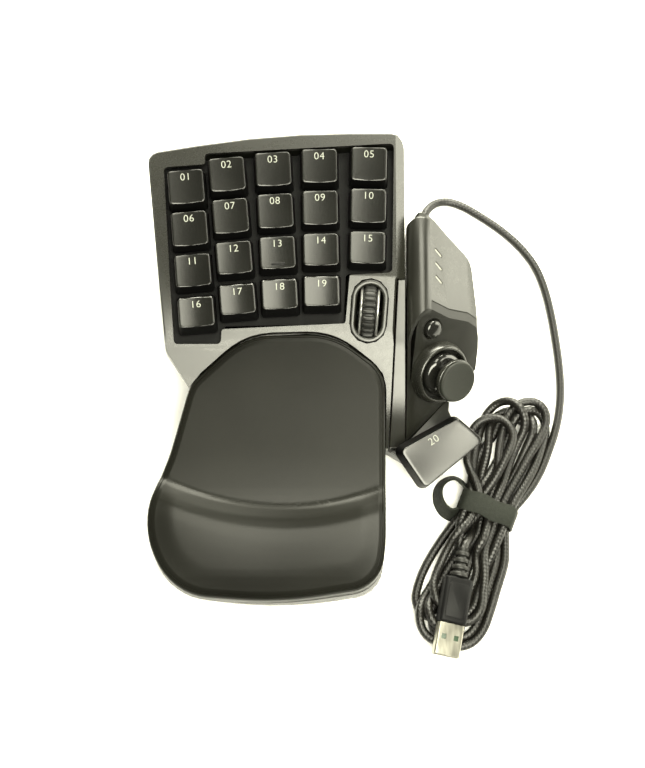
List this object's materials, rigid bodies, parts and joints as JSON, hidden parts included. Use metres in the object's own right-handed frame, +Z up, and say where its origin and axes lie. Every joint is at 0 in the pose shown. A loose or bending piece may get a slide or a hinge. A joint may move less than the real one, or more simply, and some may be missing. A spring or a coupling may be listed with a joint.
{
  "type": "one-handed gaming keypad",
  "caption": "Left-hand keypad with a fanned block of numbered keys, scroll wheel, thumb pad with stick, sliding palm rest and a bundled braided USB lead.",
  "frame": {"origin": "centre of the keypad's footprint, measured without its lead, on the desk under the rubber feet", "axes": "+X to the user's right, +Y away from the user, +Z up from the desk"},
  "size_m": [0.1915, 0.2329, 0.0595],
  "materials": {
    "shell_plastic": "fine-grained moulded black plastic",
    "cap_plastic": "satin moulded black plastic",
    "inner_plastic": "plain moulded black plastic",
    "soft_touch": "soft-touch skin, matte",
    "rubber": "moulded rubber",
    "chrome": "bright plating",
    "steel": "nickel-plated steel",
    "board": "green circuit board",
    "lens": "clear light guide",
    "braid": "braided sleeve over the lead",
    "strap": "woven hook-and-loop strap",
    "tongue": "green moulded plastic"
  },
  "bodies": {
    "case": {"base_case": "shell_plastic", "bridge_cover": "shell_plastic", "case_screw_1": "steel", "case_screw_2": "steel", "case_screw_3": "steel", "cord_gland": "rubber", "cord_hank": "braid", "cord_lead": "braid", "cord_tie": "strap", "foot_1": "rubber", "foot_2": "rubber", "foot_3": "rubber", "key20_switch": "inner_plastic", "light_guide": "lens", "pad_ring": "cap_plastic", "palm_catch": "steel", "plug_body": "rubber", "plug_relief": "rubber", "plug_shell": "steel", "plug_tongue": "tongue", "switch_board": "board", "switch_plate": "inner_plastic", "thumb_board": "board", "thumb_floor": "shell_plastic", "thumb_panel": "cap_plastic", "thumb_shell": "shell_plastic", "top_case": "shell_plastic", "wheel_ring": "shell_plastic"},
    "palm_rest": {"palm_tray": "shell_plastic", "palm_pad": "soft_touch", "foot_4": "rubber", "foot_5": "rubber"},
    "wheel_bracket": {"wheel_carrier": "inner_plastic"},
    "wheel": {"wheel_core": "chrome", "wheel_tyre": "rubber"},
    "pad_rocker": {"pad_gimbal": "steel"},
    "thumb_pad": {"thumb_pad": "cap_plastic", "thumb_stick": "cap_plastic", "stick_cap": "rubber"},
    "thumb_button": {"thumb_button": "cap_plastic"},
    "key_01": {"keycap_01": "cap_plastic"},
    "key_02": {"keycap_02": "cap_plastic"},
    "key_03": {"keycap_03": "cap_plastic"},
    "key_04": {"keycap_04": "cap_plastic"},
    "key_05": {"keycap_05": "cap_plastic"},
    "key_06": {"keycap_06": "cap_plastic"},
    "key_07": {"keycap_07": "cap_plastic"},
    "key_08": {"keycap_08": "cap_plastic"},
    "key_09": {"keycap_09": "cap_plastic"},
    "key_10": {"keycap_10": "cap_plastic"},
    "key_11": {"keycap_11": "cap_plastic"},
    "key_12": {"keycap_12": "cap_plastic"},
    "key_13": {"keycap_13": "cap_plastic"},
    "key_14": {"keycap_14": "cap_plastic"},
    "key_15": {"keycap_15": "cap_plastic"},
    "key_16": {"keycap_16": "cap_plastic"},
    "key_17": {"keycap_17": "cap_plastic"},
    "key_18": {"keycap_18": "cap_plastic"},
    "key_19": {"keycap_19": "cap_plastic"},
    "key_20": {"keycap_20": "cap_plastic"}
  },
  "joints": [
    {"name": "key_01_press", "type": "slide", "parent": "case", "child": "key_01", "axis": [0, 0.1132, -0.9936], "range_m": [0, 0.0036], "stiffness_N_per_m": 150, "springref_m": -0.001},
    {"name": "key_02_press", "type": "slide", "parent": "case", "child": "key_02", "axis": [0, 0.1132, -0.9936], "range_m": [0, 0.0036], "stiffness_N_per_m": 150, "springref_m": -0.001},
    {"name": "key_03_press", "type": "slide", "parent": "case", "child": "key_03", "axis": [0, 0.1132, -0.9936], "range_m": [0, 0.0036], "stiffness_N_per_m": 150, "springref_m": -0.001},
    {"name": "key_04_press", "type": "slide", "parent": "case", "child": "key_04", "axis": [0, 0.1132, -0.9936], "range_m": [0, 0.0036], "stiffness_N_per_m": 150, "springref_m": -0.001},
    {"name": "key_05_press", "type": "slide", "parent": "case", "child": "key_05", "axis": [0, 0.1132, -0.9936], "range_m": [0, 0.0036], "stiffness_N_per_m": 150, "springref_m": -0.001},
    {"name": "key_06_press", "type": "slide", "parent": "case", "child": "key_06", "axis": [0, 0.1132, -0.9936], "range_m": [0, 0.0036], "stiffness_N_per_m": 150, "springref_m": -0.001},
    {"name": "key_07_press", "type": "slide", "parent": "case", "child": "key_07", "axis": [0, 0.1132, -0.9936], "range_m": [0, 0.0036], "stiffness_N_per_m": 150, "springref_m": -0.001},
    {"name": "key_08_press", "type": "slide", "parent": "case", "child": "key_08", "axis": [0, 0.1132, -0.9936], "range_m": [0, 0.0036], "stiffness_N_per_m": 150, "springref_m": -0.001},
    {"name": "key_09_press", "type": "slide", "parent": "case", "child": "key_09", "axis": [0, 0.1132, -0.9936], "range_m": [0, 0.0036], "stiffness_N_per_m": 150, "springref_m": -0.001},
    {"name": "key_10_press", "type": "slide", "parent": "case", "child": "key_10", "axis": [0, 0.1132, -0.9936], "range_m": [0, 0.0036], "stiffness_N_per_m": 150, "springref_m": -0.001},
    {"name": "key_11_press", "type": "slide", "parent": "case", "child": "key_11", "axis": [0, 0.1132, -0.9936], "range_m": [0, 0.0036], "stiffness_N_per_m": 150, "springref_m": -0.001},
    {"name": "key_12_press", "type": "slide", "parent": "case", "child": "key_12", "axis": [0, 0.1132, -0.9936], "range_m": [0, 0.0036], "stiffness_N_per_m": 150, "springref_m": -0.001},
    {"name": "key_13_press", "type": "slide", "parent": "case", "child": "key_13", "axis": [0, 0.1132, -0.9936], "range_m": [0, 0.0036], "stiffness_N_per_m": 150, "springref_m": -0.001},
    {"name": "key_14_press", "type": "slide", "parent": "case", "child": "key_14", "axis": [0, 0.1132, -0.9936], "range_m": [0, 0.0036], "stiffness_N_per_m": 150, "springref_m": -0.001},
    {"name": "key_15_press", "type": "slide", "parent": "case", "child": "key_15", "axis": [0, 0.1132, -0.9936], "range_m": [0, 0.0036], "stiffness_N_per_m": 150, "springref_m": -0.001},
    {"name": "key_16_press", "type": "slide", "parent": "case", "child": "key_16", "axis": [0, 0.1132, -0.9936], "range_m": [0, 0.0036], "stiffness_N_per_m": 150, "springref_m": -0.001},
    {"name": "key_17_press", "type": "slide", "parent": "case", "child": "key_17", "axis": [0, 0.1132, -0.9936], "range_m": [0, 0.0036], "stiffness_N_per_m": 150, "springref_m": -0.001},
    {"name": "key_18_press", "type": "slide", "parent": "case", "child": "key_18", "axis": [0, 0.1132, -0.9936], "range_m": [0, 0.0036], "stiffness_N_per_m": 150, "springref_m": -0.001},
    {"name": "key_19_press", "type": "slide", "parent": "case", "child": "key_19", "axis": [0, 0.1132, -0.9936], "range_m": [0, 0.0036], "stiffness_N_per_m": 150, "springref_m": -0.001},
    {"name": "key_20_press", "type": "slide", "parent": "case", "child": "key_20", "axis": [-0.1755, 0.2544, -0.9511], "range_m": [0, 0.003], "stiffness_N_per_m": 180, "springref_m": -0.001},
    {"name": "wheel_press", "type": "slide", "parent": "case", "child": "wheel_bracket", "axis": [0, 0.1132, -0.9936], "range_m": [0, 0.0005], "stiffness_N_per_m": 3000, "springref_m": -0.0003},
    {"name": "wheel_spin", "type": "hinge", "parent": "wheel_bracket", "child": "wheel", "pos_m": [0.02485, 0.02377, 0.03548], "axis": [0.9969, -0.078, -0.0089], "continuous": true},
    {"name": "pad_tilt_a", "type": "hinge", "parent": "case", "child": "pad_rocker", "pos_m": [0.0534, 0.00157, 0.02312], "axis": [0.6868, 0.7268, 0], "range_deg": [-6, 6], "stiffness_Nm_per_rad": 0.3},
    {"name": "pad_tilt_b", "type": "hinge", "parent": "pad_rocker", "child": "thumb_pad", "pos_m": [0.0534, 0.00157, 0.02312], "axis": [-0.481, 0.4546, 0.7496], "range_deg": [-6, 6], "stiffness_Nm_per_rad": 0.3},
    {"name": "thumb_button_press", "type": "slide", "parent": "case", "child": "thumb_button", "axis": [-0.5449, 0.5149, -0.6618], "range_m": [0, 0.0008], "stiffness_N_per_m": 500, "springref_m": -0.0006},
    {"name": "palm_rest_slide", "type": "slide", "parent": "case", "child": "palm_rest", "axis": [0, -1, 0], "range_m": [0, 0.01]}
  ]
}
